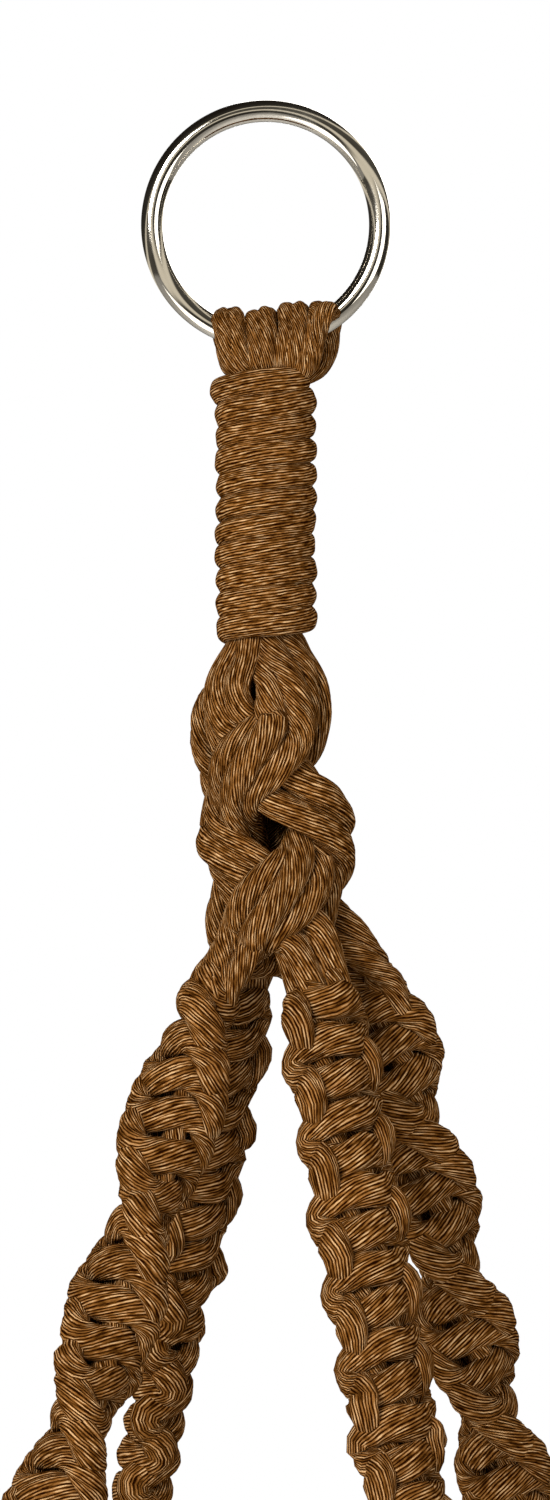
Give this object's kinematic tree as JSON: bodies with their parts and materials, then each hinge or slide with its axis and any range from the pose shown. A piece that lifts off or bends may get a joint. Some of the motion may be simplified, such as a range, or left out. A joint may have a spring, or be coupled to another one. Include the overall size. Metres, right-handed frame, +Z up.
{
  "type": "macrame plant hanger",
  "caption": "Cotton rope plant hanger: a steel ring, a wrapped neck, a braided crown, knotted arms that open into a basket for a pot, and a tassel.",
  "frame": {"origin": "the hanging point: the inside of the ring at its top, where it rests on what holds it", "axes": "+Z up along the hanger, ring in the XZ plane, -Y towards the viewer"},
  "size_m": [0.21, 0.21, 0.8547],
  "materials": {
    "plated_steel": "bright nickel plate",
    "cotton_cord": "matt twisted cotton, warm brown"
  },
  "bodies": {
    "ring": {"hanging_ring": "plated_steel"},
    "neck": {"ring_loop_1": "cotton_cord", "ring_loop_2": "cotton_cord", "ring_loop_3": "cotton_cord", "ring_loop_4": "cotton_cord", "ring_loop_5": "cotton_cord", "ring_loop_6": "cotton_cord", "ring_loop_7": "cotton_cord", "ring_loop_8": "cotton_cord", "neck_core": "cotton_cord", "neck_wrap": "cotton_cord"},
    "net": {"crown_bundle_left": "cotton_cord", "crown_bundle_front": "cotton_cord", "crown_bundle_right": "cotton_cord", "crown_bundle_rear": "cotton_cord", "left_arm_strands": "cotton_cord", "front_arm_strands": "cotton_cord", "right_arm_strands": "cotton_cord", "rear_arm_strands": "cotton_cord", "upper_knot_1": "cotton_cord", "upper_knot_2": "cotton_cord", "upper_knot_3": "cotton_cord", "upper_knot_4": "cotton_cord", "basket_strands_1": "cotton_cord", "basket_strands_2": "cotton_cord", "basket_strands_3": "cotton_cord", "basket_strands_4": "cotton_cord", "lower_knot_1": "cotton_cord", "lower_knot_2": "cotton_cord", "lower_knot_3": "cotton_cord", "lower_knot_4": "cotton_cord", "base_strands_1": "cotton_cord", "base_strands_2": "cotton_cord", "base_strands_3": "cotton_cord", "base_strands_4": "cotton_cord", "base_core": "cotton_cord", "base_wrap": "cotton_cord"},
    "left_arm": {"left_arm_knots": "cotton_cord", "left_arm_fillers": "cotton_cord"},
    "front_arm": {"front_arm_knots": "cotton_cord", "front_arm_fillers": "cotton_cord"},
    "right_arm": {"right_arm_knots": "cotton_cord", "right_arm_fillers": "cotton_cord"},
    "rear_arm": {"rear_arm_knots": "cotton_cord", "rear_arm_fillers": "cotton_cord"},
    "tassel": {"tassel_1": "cotton_cord", "tassel_2": "cotton_cord", "tassel_3": "cotton_cord", "tassel_4": "cotton_cord"}
  },
  "joints": [
    {"name": "neck_swing", "type": "hinge", "parent": "ring", "child": "neck", "pos_m": [0, 0, -0.0434], "axis": [1, 0, 0], "range_deg": [-45, 45], "deforming": ["ring_loop_1", "ring_loop_2", "ring_loop_3", "ring_loop_4", "ring_loop_5", "ring_loop_6", "ring_loop_7", "ring_loop_8"]},
    {"name": "crown_sway", "type": "hinge", "parent": "neck", "child": "net", "pos_m": [0, 0, -0.1053], "axis": [0, 1, 0], "range_deg": [-20, 20], "deforming": ["crown_bundle_left", "crown_bundle_front", "crown_bundle_right", "crown_bundle_rear"]},
    {"name": "left_arm_open", "type": "hinge", "parent": "net", "child": "left_arm", "pos_m": [-0.01529, -0.01159, -0.173], "axis": [-0.515, 0.8572, 0], "range_deg": [0, 12], "deforming": ["left_arm_strands"]},
    {"name": "front_arm_open", "type": "hinge", "parent": "net", "child": "front_arm", "pos_m": [0.01353, -0.01586, -0.173], "axis": [-0.8572, -0.515, 0], "range_deg": [0, 12], "deforming": ["front_arm_strands"]},
    {"name": "right_arm_open", "type": "hinge", "parent": "net", "child": "right_arm", "pos_m": [0.02671, 0.01365, -0.173], "axis": [0.515, -0.8572, 0], "range_deg": [0, 12], "deforming": ["right_arm_strands"]},
    {"name": "rear_arm_open", "type": "hinge", "parent": "net", "child": "rear_arm", "pos_m": [-0.00913, 0.02186, -0.173], "axis": [0.8572, 0.515, 0], "range_deg": [0, 12], "deforming": ["rear_arm_strands"]},
    {"name": "tassel_swing", "type": "hinge", "parent": "net", "child": "tassel", "pos_m": [0, 0, -0.689], "axis": [1, 0, 0], "range_deg": [-25, 25], "deforming": ["tassel_1", "tassel_2", "tassel_3", "tassel_4"]}
  ]
}
